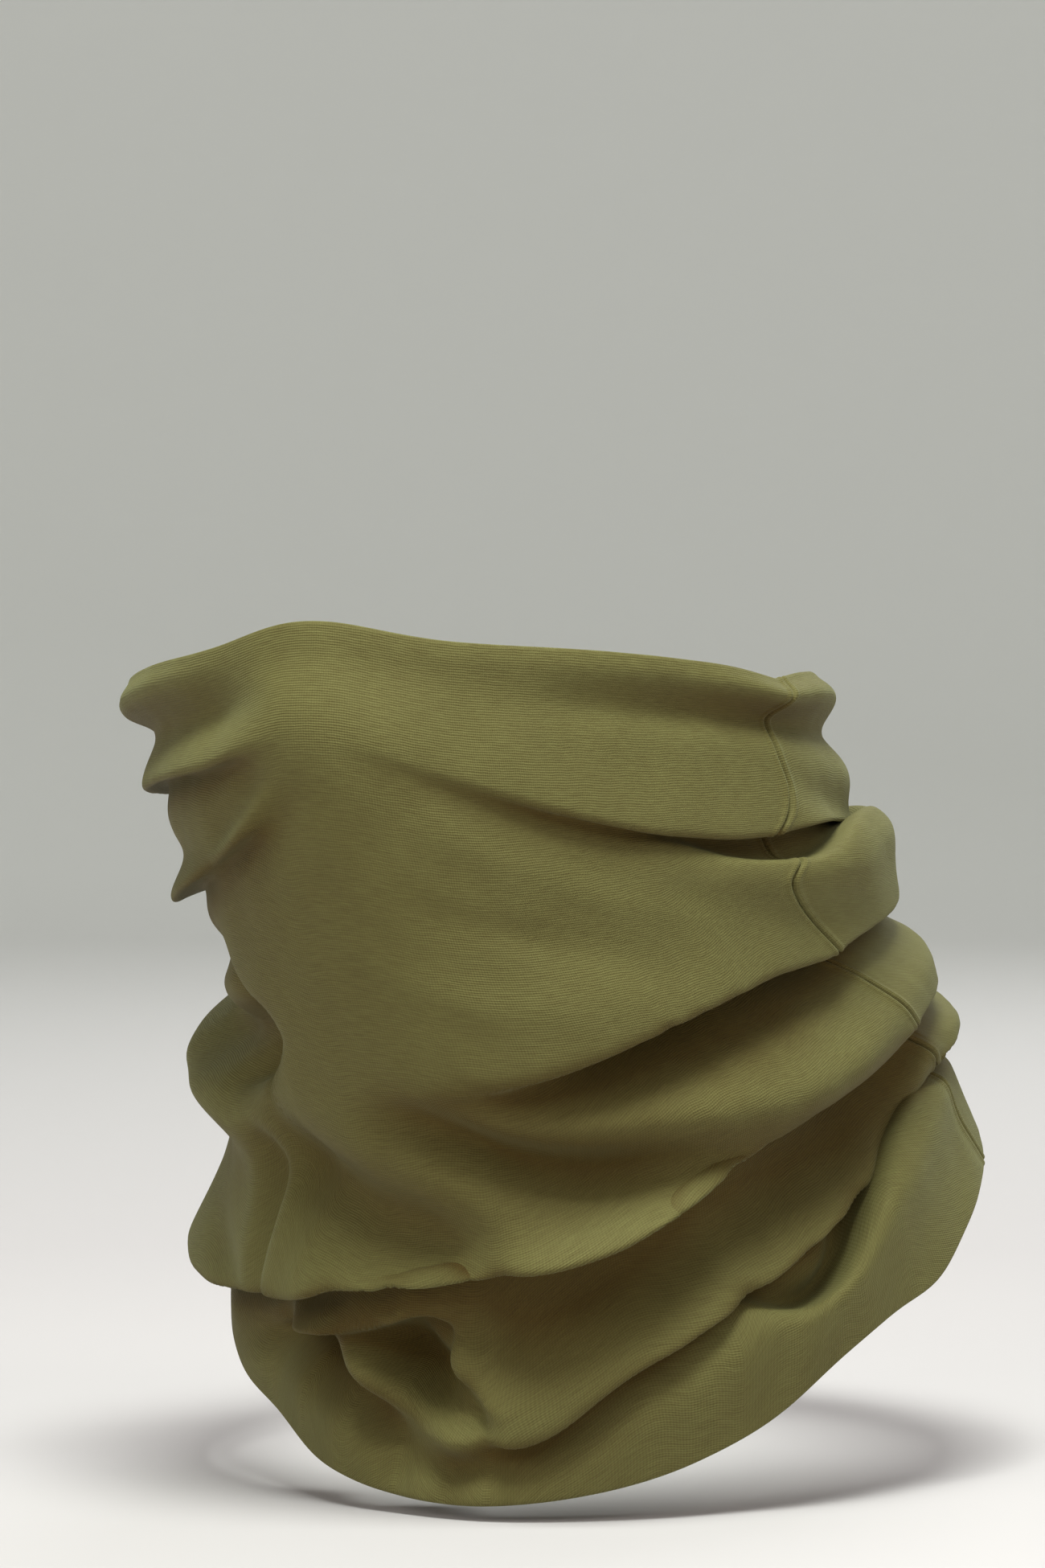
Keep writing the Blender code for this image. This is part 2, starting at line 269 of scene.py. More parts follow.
# Ridges and valleys: (path, height, width before, width after), sizes in millimetres.
RIDGES = {
    "cheek_crest": (
        [(44, 0.30, 0), (55, 0.325, 0.5), (67, 0.335, 0.8), (84, 0.325, 1), (109, 0.29, 1.2),
         (130, 0.28, 1), (155, 0.28, 0.5), (180, 0.28, 0)],
        1.8, 3.2, 7.0,
    ),
    "jaw_shelf": (
        [(5, 0.60, 0), (16, 0.607, 0.6), (24, 0.612, 0.9), (33, 0.606, 1), (49, 0.583, 1),
         (66, 0.555, 1), (82, 0.515, 1), (102, 0.483, 1), (125, 0.46, 0.8), (150, 0.45, 0)],
        2.2, 4.5, 4.5,
    ),
    "jaw_hollow": (
        [(24, 0.565, 0), (33, 0.545, 0.7), (44, 0.515, 1), (58, 0.485, 1), (72, 0.462, 0.8),
         (86, 0.44, 0)],
        -4.5, 5.0, 6.0,
    ),
    "shelf_hollow": (
        [(-2, 0.60, 0), (7, 0.61, 0.6), (16, 0.64, 1), (26, 0.645, 1), (36, 0.63, 0.9),
         (48, 0.612, 0.8), (60, 0.595, 0.8), (74, 0.57, 0.5), (86, 0.54, 0)],
        -10.5, 4.5, 6.0,
    ),
    "chin_shade": (
        [(-2, 0.70, 0), (6, 0.703, 0.8), (14, 0.697, 1), (22, 0.68, 1), (30, 0.657, 0.8),
         (38, 0.635, 0)],
        -4.5, 6.0, 3.5,
    ),
    "chin_slant": (
        [(-24, 0.667, 0), (-18, 0.68, 0.9), (-6, 0.703, 1), (3, 0.716, 1), (10, 0.728, 0.7),
         (18, 0.735, 0)],
        -10.5, 7.0, 7.0,
    ),
    "collar_recess": (
        [(2, 0.85, 0), (12, 0.845, 0.7), (25, 0.81, 1), (40, 0.765, 1), (56, 0.715, 1), (72, 0.675, 1),
         (86, 0.63, 0.7), (98, 0.60, 0)],
        -10.0, 9.0, 7.0,
    ),
    "thin_roll": (
        [(-46, 0.955, 0), (-36, 0.92, 0.1), (-27, 0.892, 0.4), (-19, 0.869, 0.8), (-12, 0.853, 1),
         (-3, 0.831, 0.9), (3, 0.815, 0)],
        3.6, 2.6, 1.8,
    ),
    "pocket": (
        [(-3, 0.86, 0.2), (-1, 0.87, 1), (1, 0.884, 1.1), (3, 0.902, 1), (5, 0.92, 0.8),
         (6.5, 0.937, 0.2)],
        -18.0, 4.5, 3.0,
    ),
    "slant": (
        [(-20, 0.868, 0.3), (-15, 0.876, 0.9), (-6, 0.888, 1), (1, 0.908, 1.1), (6, 0.93, 1.3),
         (10, 0.948, 1.2), (14, 0.96, 0.5)],
        6.5, 4.0, 1.8,
    ),
    "slant_hollow": (
        [(-26, 0.885, 0), (-17, 0.894, 0.9), (-11, 0.907, 1), (-4, 0.925, 1), (2, 0.952, 0.6)],
        -8.0, 3.0, 4.5,
    ),
    "rim_edge": (
        [(-180, 0.025, 1), (-90, 0.03, 1.2), (-50, 0.03, 1), (-20, 0.02, 0.4), (0, 0.012, 0.2),
         (40, 0.015, 0.5), (70, 0.02, 0.8), (95, 0.03, 1.2), (130, 0.03, 1), (180, 0.025, 1)],
        2.6, 3.0, 4.0,
    ),
    "rim_tuck_right": (
        [(-170, 0, 0.6), (-120, 0, 1), (-60, 0, 1), (-35, 0, 0.6), (-15, 0, 0)],
        -2.5, 3.0, 3.0,
    ),
    "rim_tuck_left": (
        [(60, 0, 0), (80, 0, 0.5), (95, 0, 1), (140, 0, 1), (185, 0, 0.6)],
        -2.5, 3.0, 3.0,
    ),
    "rim_valley": (
        [(25, 0.09, 0), (50, 0.08, 0.4), (75, 0.075, 0.7), (95, 0.07, 1), (130, 0.07, 1),
         (165, 0.07, 0.6), (205, 0.07, 0)],
        -4.0, 3.5, 4.5,
    ),
    "band_valley": (
        [(80, 0.185, 0), (95, 0.19, 0.8), (118, 0.19, 1), (145, 0.185, 0.5), (170, 0.18, 0)],
        -3.5, 4.0, 4.0,
    ),
    "nose_valley": (
        [(-130, 0.11, 0), (-90, 0.11, 0.8), (-60, 0.115, 1), (-38, 0.115, 1), (-24, 0.105, 1),
         (-13, 0.105, 0.8), (-3, 0.12, 0)],
        -3.5, 5.0, 5.0,
    ),
    "mouth_valley": (
        [(-80, 0.31, 0), (-50, 0.315, 0.6), (-26, 0.30, 0.8), (-17, 0.27, 1), (-11, 0.24, 1),
         (-7, 0.215, 0.7), (-4, 0.19, 0)],
        -3.0, 3.5, 3.0,
    ),
    "nose_bridge": (
        [(-16, 0.13, 0), (-6, 0.135, 0.8), (3, 0.14, 1), (11, 0.145, 0.8), (24, 0.17, 0)],
        3.0, 12.0, 14.0,
    ),
    "side_bowl": (
        [(-16, 0.49, 0), (-24, 0.53, 1), (-36, 0.565, 1), (-48, 0.595, 0.8), (-60, 0.61, 0)],
        -8.5, 6.5, 6.0,
    ),
    "lump_slope": (
        [(-110, 0.565, 0), (-85, 0.568, 0.8), (-65, 0.572, 1), (-50, 0.565, 0.8), (-38, 0.555, 0)],
        -5.0, 5.0, 5.0,
    ),
    "jaw_recess": (
        [(-100, 0.49, 0), (-75, 0.48, 1), (-50, 0.465, 1), (-32, 0.44, 0.6), (-22, 0.43, 0)],
        -5.0, 7.0, 6.0,
    ),
    "side_hollow": (
        [(-22, 0.48, 0), (-22, 0.52, 0.9), (-23, 0.56, 1), (-27, 0.60, 1), (-36, 0.635, 0)],
        -6.0, 5.0, 5.0,
    ),
    "side_peak": (
        [(-125, 0.64, 0), (-95, 0.653, 0.8), (-70, 0.662, 1), (-54, 0.662, 1), (-44, 0.665, 0.8),
         (-34, 0.67, 0.4), (-24, 0.675, 0)],
        11.0, 12.0, 5.5,
    ),
    "side_skirt": (
        [(-115, 0.96, 0), (-90, 0.95, 0.7), (-70, 0.93, 1), (-56, 0.91, 1), (-42, 0.885, 0.7),
         (-32, 0.865, 0)],
        3.0, 14.0, 4.0,
    ),
    "side_crease": (
        [(-27, 0.655, 0), (-25.5, 0.68, 0.8), (-24, 0.72, 1), (-23.5, 0.77, 1), (-25, 0.815, 1),
         (-29, 0.85, 0.2)],
        -7.0, 1.8, 3.4,
    ),
    "side_fold": (
        [(-22.5, 0.65, 0), (-21, 0.69, 0.8), (-19.5, 0.74, 1), (-20, 0.80, 1), (-24, 0.84, 0)],
        2.2, 2.4, 2.0,
    ),
    "side_pocket": (
        [(-52, 0.83, 0), (-42, 0.825, 1), (-33, 0.82, 1), (-28, 0.815, 0)],
        -2.5, 4.0, 3.0,
    ),
    "hem_side": (
        [(-90, 0.98, 0), (-65, 0.975, 0.8), (-50, 0.965, 1), (-38, 0.96, 0.8), (-26, 0.965, 0)],
        5.0, 8.0, 8.0,
    ),
    "shoulder_roll": (
        [(88, 0.655, 0), (100, 0.64, 0.7), (117, 0.635, 1), (145, 0.64, 0.7), (170, 0.64, 0)],
        4.0, 5.0, 5.0,
    ),
    "shoulder_notch": (
        [(95, 0.705, 0.2), (105, 0.70, 1), (118, 0.70, 1), (145, 0.70, 0.5), (165, 0.70, 0)],
        -3.5, 3.0, 3.0,
    ),
    "hem_dimple": (
        [(-5, 0.99, 0), (1, 0.975, 0.8), (8, 0.965, 1), (14, 0.955, 0.6), (18, 0.95, 0)],
        -3.5, 2.5, 3.5,
    ),
    "cheek_pull_a": (
        [(14, 0.24, 0), (24, 0.30, 0.8), (38, 0.345, 1), (56, 0.365, 0.8), (70, 0.375, 0)],
        0.7, 4.0, 5.0,
    ),
    "cheek_pull_b": (
        [(8, 0.33, 0), (20, 0.38, 0.8), (34, 0.40, 1), (52, 0.405, 0)],
        -0.8, 4.0, 4.0,
    ),
    "cheek_pull_c": (
        [(2, 0.40, 0), (14, 0.46, 1), (28, 0.455, 0.8), (42, 0.43, 0)],
        0.7, 4.0, 4.0,
    ),
    "hem_pucker_a": (
        [(38, 0.865, 0), (39.5, 0.885, 1), (41, 0.91, 0)],
        1.6, 1.2, 1.6,
    ),
    "hem_pucker_b": (
        [(42, 0.86, 0), (43, 0.88, 1), (43, 0.90, 0)],
        -1.8, 1.2, 1.2,
    ),
    "hem_pucker_c": (
        [(34, 0.875, 0), (35, 0.895, 1), (37, 0.91, 0)],
        -1.5, 1.2, 1.2,
    ),
}

# How much farther down the bottom edge hangs at angles round it, in millimetres.
HEM_DROPS = (
    (-180, 0), (-60, 0), (-40, 1), (-24, 0.5), (-17, 3), (-5, 4), (15, 4), (35, 4), (50, 3.5), (62, 0.5),
    (75, 0.5), (84, 4), (92, 2), (105, 0), (180, 0),
)
HEM_DROP_REACH = 0.10  # levels

# The same at the top edge, where less than nothing stands higher.
RIM_DROPS = ((-180, 0), (72, 0), (86, 1), (98, -2), (112, -4), (130, -3), (160, 0), (180, 0))
RIM_DROP_REACH = 0.06

# Shallow waves that no fold explains: waves round the tube, radians down each centimetre of it,
# where it starts and its share.
WAVES = ((9, 1.3, 0.6, 1.0), (14, -0.9, 2.1, 0.7), (23, 2.3, 4.0, 0.5), (37, -3.1, 1.1, 0.35))
WAVE_HEIGHT = 0.14 * MM

PATH_STEPS = 24  # between two points of a path
END_FADE = 4 * MM

# Rounds of smoothing down the columns and round the tube.
LIP_BLUR = (8, 3)
RIDGE_BLUR = (12, 4)
DROP_BLUR = (0, 6)


def hump(x, centre, before, after):
    """A smooth hump of height 1, with its own width on each side."""
    width = np.where(x < centre, before, after)
    return np.exp(-(((x - centre) / width) ** 2))


def blurred(field, down_rounds, across_rounds):
    """A field on the grid, smoothed down the columns and round the tube."""
    for _ in range(down_rounds):
        padded = np.concatenate([field[:1], field, field[-1:]])
        field = (padded[:-2] + 2 * padded[1:-1] + padded[2:]) / 4
    for _ in range(across_rounds):
        field = (np.roll(field, 1, axis=1) + 2 * field + np.roll(field, -1, axis=1)) / 4
    return field


def nearest_on_path(layout, path):
    """For each grid point: its signed distance below the path, the strength there, and the way below."""
    placed = layout.flat_path(path)
    spans = len(placed) - 1
    samples = catmull_rom(placed, np.linspace(0, spans, PATH_STEPS * spans + 1))
    middle = np.degrees(samples[:, 0].mean() / LAYOUT_RADIUS)
    grid_round = np.radians(middle + wrapped(layout.degrees - middle)) * LAYOUT_RADIUS
    tangents = unit(np.gradient(samples[:, :2], axis=0))
    nearest = np.full(grid_round.shape, np.inf)
    index = np.zeros(grid_round.shape, dtype=int)
    for number, (sample_round, sample_down, _) in enumerate(samples):
        distance = (grid_round - sample_round) ** 2 + (layout.depth - sample_down) ** 2
        closer = distance < nearest
        nearest[closer] = distance[closer]
        index[closer] = number
    from_round = grid_round - samples[index, 0]
    from_down = layout.depth - samples[index, 1]
    tangent = tangents[index]
    along = from_round * tangent[..., 0] + from_down * tangent[..., 1]
    side = -from_round * tangent[..., 1] + from_down * tangent[..., 0]
    past_end = np.where((index == 0) | (index == len(samples) - 1), along, 0)
    strength = np.clip(samples[index, 2], 0, None) * np.exp(-((past_end / END_FADE) ** 2))
    below = np.stack([-tangent[..., 1], tangent[..., 0]], axis=-1)
    return side, strength, below


def lip_profile(x, reach):
    """How far a lip's cloth goes out, goes in and is pushed along, at x widths below the lip."""
    out = hump(x, -0.35, reach, 0.55)
    dip = hump(x, 0.72, 0.6, 1.4)
    push = hump(x, -0.35, reach, 0.45) - 0.5 * hump(x, 0.5, 0.55, 1.6)
    return out, dip, push


def add_lip(layout, moved, path, width, reach, out, dip, push):
    """A fold whose upper layer bulges over the layer below and hides the start of it."""
    side, strength, below = nearest_on_path(layout, path)
    out_share, dip_share, push_share = lip_profile(side / (width * MM), reach)
    along = strength * push * push_share
    offsets = np.stack([
        strength * (out * out_share - dip * dip_share),
        along * below[..., 0],
        along * below[..., 1],
    ], axis=-1)
    offsets = blurred(offsets, *LIP_BLUR) * MM
    for number, way in enumerate((layout.out, layout.across, layout.down)):
        moved += way * offsets[..., number, None]


def add_ridge(layout, moved, path, height, before, after):
    """A soft ridge, or a valley where the height is negative."""
    side, strength, _ = nearest_on_path(layout, path)
    shape = blurred(strength * hump(side / MM, 0, before, after), *RIDGE_BLUR)
    moved += layout.out * (height * shape * MM)[..., None]


def nape_path(number, level):
    """A fold across the nape that fades at both ends and wanders a little, each in its own way."""
    start, end = NAPE_SPAN
    turned = NAPE_TURN * math.sin(1.7 * number)
    path = []
    for share in np.linspace(0, 1, NAPE_POINTS):
        wander = NAPE_WANDER * math.sin(5 * share + 2.4 * number)
        strength = math.sin(math.pi * share) ** 0.7 * (0.85 + 0.2 * math.cos(3 * share + number))
        path.append((start + (end - start) * share + turned, level + wander, strength))
    return path


def drop_edge(layout, moved, edge, drops, reach):
    """The cloth near an edge hangs farther down, by an amount that changes round the tube."""
    angles, sizes = np.transpose(drops)
    size = blurred(np.interp(wrapped(layout.degrees), angles, sizes), *DROP_BLUR)
    near_edge = np.exp(-(((edge - layout.levels) / reach) ** 2))
    moved += layout.down * (size * near_edge[:, None] * MM)[..., None]


def add_waves(layout, moved):
    around = np.radians(layout.degrees)
    centimetres = layout.depth / (10 * MM)
    height = np.zeros(around.shape)
    for count, slant, start, share in WAVES:
        height += share * np.sin(count * around + slant * centimetres + start)
    moved += layout.out * (WAVE_HEIGHT * height)[..., None]


def fold_cloth(layout):
    """The grid's points with every fold, dropped edge and wave added."""
    moved = layout.points.copy()
    for path, *sizes in LIPS.values():
        add_lip(layout, moved, path, *sizes)
    for number, level in enumerate(NAPE_LEVELS):
        add_lip(layout, moved, nape_path(number, level), *NAPE_FOLD)
    for path, *sizes in RIDGES.values():
        add_ridge(layout, moved, path, *sizes)
    drop_edge(layout, moved, 0, RIM_DROPS, RIM_DROP_REACH)
    drop_edge(layout, moved, 1, HEM_DROPS, HEM_DROP_REACH)
    add_waves(layout, moved)
    return moved


# The panel.

ROWS = 380
SOFTEN_ROUNDS = 4
SEAM_GROOVE_DEPTH = 1.0 * MM
SEAM_GROOVE_WIDTH = 0.5 * MM
SEAM_PUFF = 0.3 * MM
SEAM_PUFF_AT = 1.4 * MM
SEAM_PUFF_WIDTH = 0.8 * MM

# Both cut edges roll inwards.
CURL_ROWS = 9
CURL_RADIUS = 0.45 * MM
CURL_ANGLE = math.radians(150)

# Painted shade: the cloth's colour is darkened and browned where other cloth hangs over it and would keep
# light off it.
PAINTED_SHADE_ROWS = 80  # how far up the cloth a point looks for cloth that hangs over it
PAINTED_SHADE_BLUR = (8, 6)


def even_rows(points):
    """Each column's points spread evenly along its own length, with the length of each column."""
    steps = np.linalg.norm(np.diff(points, axis=0), axis=-1)
    length = np.concatenate([np.zeros((1, points.shape[1])), np.cumsum(steps, axis=0)])
    spread = np.empty((ROWS, points.shape[1], 3))
    for column in range(points.shape[1]):
        wanted = np.linspace(0, length[-1, column], ROWS)
        for axis in range(3):
            spread[:, column, axis] = np.interp(wanted, length[:, column], points[:, column, axis])
    return spread, length[-1]


def softened(points):
    """The grid after a few rounds of moving each point towards its neighbours."""
    for _ in range(SOFTEN_ROUNDS):
        beside = (np.roll(points, 1, axis=1) + np.roll(points, -1, axis=1)) / 2
        above_below = (points[:-2] + points[2:]) / 2
        middle = (beside[1:-1] + above_below) / 2
        wanted = np.concatenate([beside[:1], middle, beside[-1:]])
        points = (points + wanted) / 2
    return points


def surface_out(points):
    across = np.roll(points, -1, axis=1) - np.roll(points, 1, axis=1)
    down = np.gradient(points, axis=0)
    return unit(np.cross(down, across))


def add_seam_groove(layout, points):
    """The cloth dips to the stitches along the seam and puffs up a little on each side."""
    side = np.radians(layout.from_seam) * LAYOUT_RADIUS
    groove = -SEAM_GROOVE_DEPTH * np.exp(-((side / SEAM_GROOVE_WIDTH) ** 2))
    puff = SEAM_PUFF * np.exp(-(((np.abs(side) - SEAM_PUFF_AT) / SEAM_PUFF_WIDTH) ** 2))
    return points + surface_out(points) * (groove + puff)[None, :, None]


def curl(edge, out, beyond):
    """Rows that roll inwards from an edge, where beyond is the way off the cloth."""
    rows = []
    for step in range(1, CURL_ROWS + 1):
        turn = CURL_ANGLE * step / CURL_ROWS
        rows.append(edge - out * CURL_RADIUS * (1 - math.cos(turn)) + beyond * CURL_RADIUS * math.sin(turn))
    return np.array(rows)


def with_curls(rows):
    """The grid's rows with the rolled edges added above and below."""
    out = surface_out(rows)
    top = curl(rows[0], out[0], unit(rows[0] - rows[1]))[::-1]
    bottom = curl(rows[-1], out[-1], unit(rows[-1] - rows[-2]))
    return np.concatenate([top, rows, bottom])


def lengths_down(lengths):
    """How far down the cloth each row lies, in metres, with the rolled edges' rows."""
    curl_length = CURL_RADIUS * CURL_ANGLE
    return np.concatenate([
        np.linspace(-curl_length, 0, CURL_ROWS, endpoint=False)[:, None] + np.zeros(len(lengths)),
        np.linspace(0, 1, ROWS)[:, None] * lengths[None, :],
        lengths[None, :] + np.linspace(0, curl_length, CURL_ROWS + 1)[1:, None],
    ])


def overhang_shade(rows, degrees):
    """How far the cloth hanging above each point keeps light off it, from 0 in the open to 1, which the
    knit's colour uses as painted shade.
    """
    turn = np.radians(degrees)
    away = rows[..., 0] * np.sin(turn) - rows[..., 1] * np.cos(turn)
    height = rows[..., 2]
    open_to = np.full(away.shape, math.pi / 2)
    for lift in range(1, PAINTED_SHADE_ROWS):
        rise = np.maximum(height[:-lift] - height[lift:], 0)
        angle = np.arctan2(rise, away[:-lift] - away[lift:])
        open_to[lift:] = np.where(rise > 0, np.minimum(open_to[lift:], angle), open_to[lift:])
    return blurred(1 - open_to / (math.pi / 2), *PAINTED_SHADE_BLUR)


def add_object(name, points, faces):
    mesh = bpy.data.meshes.new(name)
    mesh.from_pydata(points, [], faces)
    mesh.shade_smooth()
    made = bpy.data.objects.new(name, mesh)
    bpy.context.scene.collection.objects.link(made)
    return made


def band_faces(rows, columns):
    """The quads between rows of points that close round, with the points' own numbers."""
    index = np.arange(rows * columns).reshape(rows, columns)
    after = np.roll(index, -1, axis=1)
    return np.stack([index[:-1], index[1:], after[1:], after[:-1]], axis=-1).reshape(-1, 4), index


def set_cloth_uvs(panel, across, down):
    """UVs in metres of flat cloth, which start and end at the seam."""
    across_after = np.roll(across, -1)
    across_after = np.where(across_after < across, across_after + FLAT_ROUND, across_after)
    corner_u = np.stack([across, across, across_after, across_after], axis=-1)
    corner_u = np.repeat(corner_u[None], len(down) - 1, axis=0)
    down_after = np.roll(down, -1, axis=1)
    corner_v = np.stack([down[:-1], down[1:], down_after[1:], down_after[:-1]], axis=-1)
    layer = panel.data.uv_layers.new(name="cloth")
    layer.data.foreach_set("uv", np.stack([corner_u, corner_v], axis=-1).reshape(-1))


def make_panel(layout, material):
    """The folded panel, and the bed on its inside that the seam lies in."""
    rows, lengths = even_rows(fold_cloth(layout))
    rows = add_seam_groove(layout, softened(rows))
    points = with_curls(rows)
    faces, _ = band_faces(*points.shape[:2])
    panel = add_object("knit_panel", points.reshape(-1, 3), faces)
    set_cloth_uvs(panel, layout.from_seam / 360 * FLAT_ROUND, lengths_down(lengths))
    # Painted shade: how much cloth hangs over each point, kept on the panel for the knit's colour to darken
    # and brown it.
    painted_shade = np.pad(overhang_shade(rows, layout.columns), ((CURL_ROWS, CURL_ROWS), (0, 0)), mode="edge")
    panel.data.attributes.new("painted_shade", "FLOAT", "POINT").data.foreach_set("value", painted_shade.reshape(-1))
    panel.data.materials.append(material)
    solidify = panel.modifiers.new("Thickness", "SOLIDIFY")
    solidify.thickness = CLOTH_THICKNESS
    solidify.offset = 0.0
    return panel, SeamBed(layout, rows, lengths)


# The seam.

LAYER_GAP = 0.1 * MM
SEAM_TOP = CLOTH_THICKNESS / 2 + LAYER_GAP  # from the middle of the cloth to the allowance
SEAM_END_GAP = 1.5 * MM
ALLOWANCE_WIDTH = 5.0 * MM
ALLOWANCE_THICKNESS = 0.9 * MM
ALLOWANCE_EDGE = 0.2 * MM  # how far its rounded edges stand out
ALLOWANCE_STEPS = 6
THREAD_RADIUS = 0.2 * MM
THREAD_SIDES = 6
STITCH_LENGTH = 2.5 * MM
POINTS_PER_STITCH = 8
NEVER_ALONG = (0.3, -0.2, 0.93)  # a direction that no thread takes

SEAM_BEFORE = 2  # columns on each side of the seam that the allowance may lie along
SEAM_REACH = 24

# A fold squeezes the seam flat: the seam's depth shrinks where another layer comes close.
SAME_LAYER_ROWS = 5  # rows this close along the cloth belong to one layer
LAYER_REACH = 2.0 * MM
LAYER_CLEARANCE = 0.7 * MM
FULL_SEAM_DEPTH = 2.2 * MM
LEAST_SEAM_SHARE = 0.04
OPEN_ROOM = 1.0  # metres, where no other layer faces the seam

# One stitch of each thread: distance behind the seam and depth in the allowance, in millimetres.
# The needle thread goes in and out close to the fold, the upper looper zigzags over the face that
# lies inwards, and the lower looper runs along the cut edges and hooks round them.
STITCHES = {
    "needle_thread": (
        (0.9, 0.2), (0.9, 1.0), (0.9, 1.15), (0.9, 1.15), (0.9, 1.15), (0.9, 1.15), (0.9, 1.0), (0.9, 0.4),
    ),
    "upper_looper_thread": (
        (0.9, 1.2), (2.2, 1.3), (3.8, 1.3), (5.2, 1.2), (5.5, 0.9), (5.1, 1.25), (3.6, 1.3), (2.0, 1.3),
    ),
    "lower_looper_thread": (
        (5.5, 0.5), (5.6, 0.7), (5.4, 1.0), (5.1, 1.4), (5.2, 1.5), (5.5, 1.3), (5.7, 0.9), (5.6, 0.6),
    ),
}


class SeamBed:
    """The inside of the folded cloth beside the seam, read at a length down it and a distance behind it."""

    def __init__(self, layout, rows, lengths):
        seam = int(np.argmin(np.abs(layout.from_seam)))
        self.length = lengths[seam]
        columns = (seam + np.arange(-SEAM_BEFORE, SEAM_REACH)) % rows.shape[1]
        self.points = rows[:, columns]
        self.out = surface_out(rows)[:, columns]
        steps = np.linalg.norm(np.diff(self.points, axis=1), axis=-1)
        aside = np.concatenate([np.zeros((len(rows), 1)), np.cumsum(steps, axis=1)], axis=1)
        self.aside = aside - aside[:, SEAM_BEFORE, None]
        self.share = self.free_share()

    def free_share(self):
        """The share of its full depth that the seam keeps at each point."""
        rows, columns = self.points.shape[:2]
        apart = np.abs(np.arange(rows)[:, None] - np.arange(rows)) >= SAME_LAYER_ROWS
        room = np.empty((rows, columns))
        for column in range(columns):
            to_others = self.points[None, :, column] - self.points[:, None, column]
            inward = -(to_others * self.out[:, None, column]).sum(axis=-1)
            sideways = np.sqrt(np.maximum((to_others**2).sum(axis=-1) - inward**2, 0))
            facing = apart & (inward > 0) & (sideways < LAYER_REACH)
            room[:, column] = np.where(facing, inward, OPEN_ROOM).min(axis=1)
        share = np.clip((room - LAYER_CLEARANCE) / FULL_SEAM_DEPTH, LEAST_SEAM_SHARE, 1)
        for _ in range(SAME_LAYER_ROWS):
            padded = np.pad(share, 1, mode="edge")
            above_below = np.minimum(padded[:-2, 1:-1], padded[2:, 1:-1])
            beside = np.minimum(padded[1:-1, :-2], padded[1:-1, 2:])
            share = np.minimum(above_below, beside)
        return blurred(share, SAME_LAYER_ROWS, 0)

    def read(self, row, side):
        """The point, the way out and the free share at one row and a distance behind the seam."""
        values = np.column_stack([self.points[row], self.out[row], self.share[row]])
        return np.array([np.interp(side, self.aside[row], column) for column in values.T])

    def at(self, length, aside, depth):
        """Points at arrays of lengths down the seam, distances behind it and depths under the cloth."""
        place = np.clip(length / self.length, 0, 1) * (len(self.points) - 1)
        found = []
        for row, side, deep in zip(place, aside, depth):
            low = min(int(row), len(self.points) - 2)
            share = row - low
            values = self.read(low, side) * (1 - share) + self.read(low + 1, side) * share
            found.append(values[:3] - unit(values[3:6]) * deep * values[6])
        return np.array(found)


def swept(name, rings, material):
    """A closed piece through rings of points, with its two ends filled."""
    rings = np.transpose(rings, (1, 0, 2))
    faces, index = band_faces(*rings.shape[:2])
    ends = [index[0].tolist(), index[-1][::-1].tolist()]
    made = add_object(name, rings.reshape(-1, 3), faces.tolist() + ends)
    made.data.materials.append(material)
    return made


def make_allowance(bed, material):
    """The two overlocked cut edges, pressed flat towards the back against the inside of the cloth."""
    flat = np.linspace(0, ALLOWANCE_WIDTH, ALLOWANCE_STEPS)
    middle = SEAM_TOP + ALLOWANCE_THICKNESS / 2
    outline = [(aside, SEAM_TOP) for aside in flat]
    outline.append((ALLOWANCE_WIDTH + ALLOWANCE_EDGE, middle))
    outline += [(aside, SEAM_TOP + ALLOWANCE_THICKNESS) for aside in flat[::-1]]
    outline.append((-ALLOWANCE_EDGE, middle))
    lengths = np.linspace(SEAM_END_GAP, bed.length - SEAM_END_GAP, ROWS)
    rings = [bed.at(lengths, np.full(ROWS, aside), np.full(ROWS, depth)) for aside, depth in outline]
    return swept("seam_allowance", rings, material)


def make_thread(name, stitch, bed, material):
    """A thread whose place beside the seam and depth repeat with each stitch."""
    aside, depth = np.transpose(stitch) * MM
    stitches = int((bed.length - 2 * SEAM_END_GAP) / STITCH_LENGTH)
    steps = np.arange(stitches * POINTS_PER_STITCH + 1)
    lengths = SEAM_END_GAP + steps * STITCH_LENGTH / POINTS_PER_STITCH
    phase = steps % POINTS_PER_STITCH
    line = bed.at(lengths, aside[phase], SEAM_TOP + depth[phase])
    tangent = unit(np.gradient(line, axis=0))
    first = unit(np.cross(tangent, NEVER_ALONG))
    second = np.cross(tangent, first)
    rings = []
    for angle in np.linspace(0, 2 * math.pi, THREAD_SIDES, endpoint=False):
        rings.append(line + THREAD_RADIUS * (math.cos(angle) * first + math.sin(angle) * second))
    return swept(name, rings, material)


# The materials.

SEAM_COLOUR = (0.045, 0.034, 0.010, 1.0)
THREAD_COLOUR = (0.125, 0.112, 0.045, 1.0)
THREAD_DARK = (0.07, 0.06, 0.022, 1.0)
KNIT_COLOUR = (0.150, 0.141, 0.047, 1.0)
KNIT_DARK = (0.062, 0.043, 0.009, 1.0)
PAINTED_SHADE_TINT = (0.58, 0.41, 0.22, 1.0)  # painted shade: cloth under an overhanging fold is tinted darker and browner, as if in shadow
SHEEN_TINT = (0.60, 0.68, 0.40, 1.0)

RIB_PITCH = 0.52 * MM  # rows of stitches round the tube
STITCH_PITCH = 0.44 * MM
STITCH_WANDER = 0.3 * MM
PLY_PITCH = 0.35 * MM
SEAM_LINE = 0.45 * MM
BUMP_HEIGHT = 0.14 * MM
WAVE_LENGTH = math.pi / 10  # of the wave texture at scale 1


